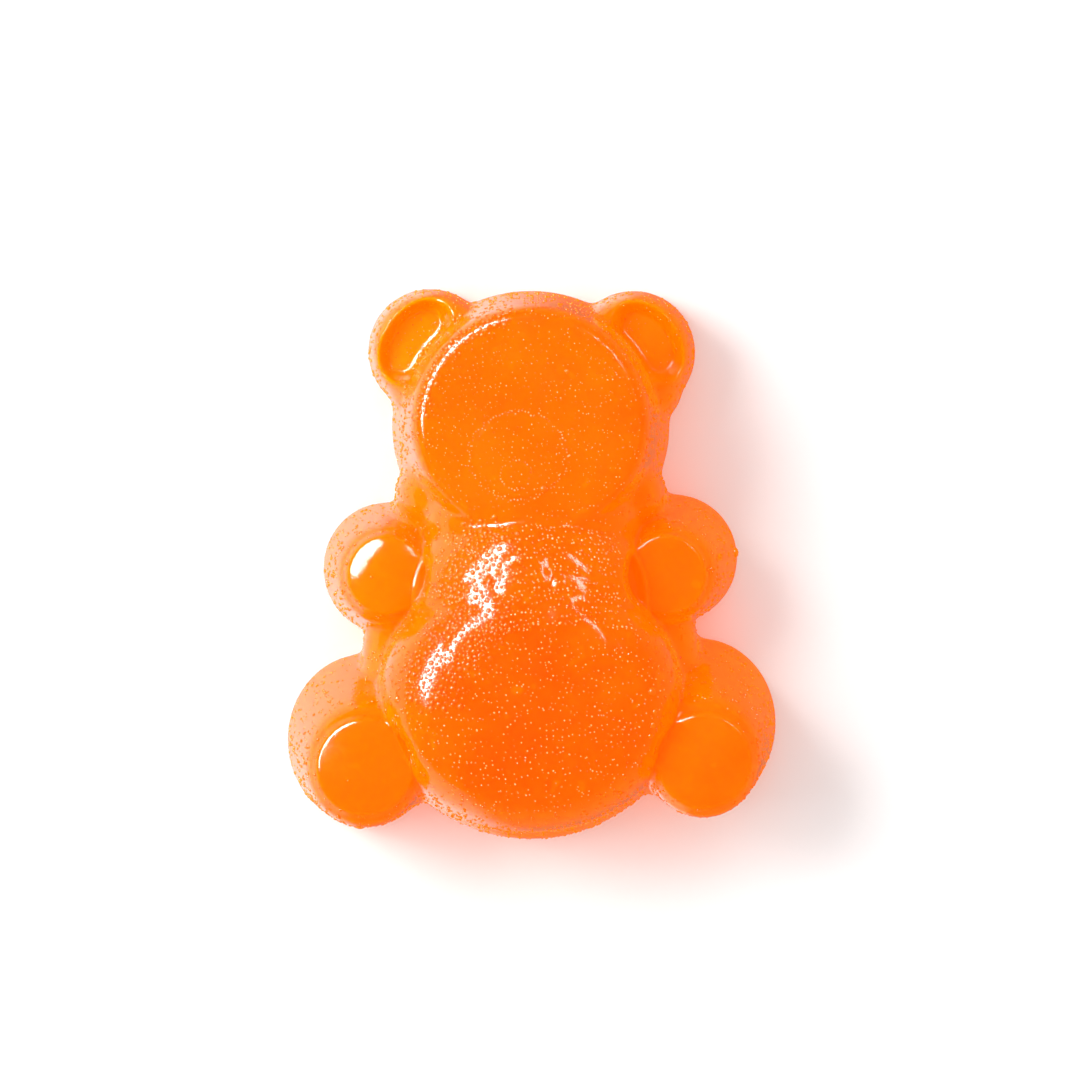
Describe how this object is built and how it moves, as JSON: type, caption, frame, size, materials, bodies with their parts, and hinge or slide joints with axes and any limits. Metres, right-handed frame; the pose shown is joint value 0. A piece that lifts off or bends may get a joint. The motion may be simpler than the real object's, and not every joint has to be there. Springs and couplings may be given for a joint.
{
  "type": "gummy bear",
  "caption": "Moulded orange gummy bear lying on its flat back: round face with low muzzle, hollowed ears, domed paws, round feet and a high belly.",
  "frame": {"origin": "middle of the flat back's bounding box, on the surface that the sweet lies on", "axes": "+Y runs up the bear to its head, +X to the right of a bear seen from the front, +Z out of the back towards the belly and face"},
  "size_m": [0.0266, 0.03, 0.0124],
  "materials": {
    "orange_gummy": "cloudy translucent orange gum with a wet gloss and fine droplets"
  },
  "bodies": {
    "root": {"gummy_bear": "orange_gummy"}
  },
  "joints": []
}
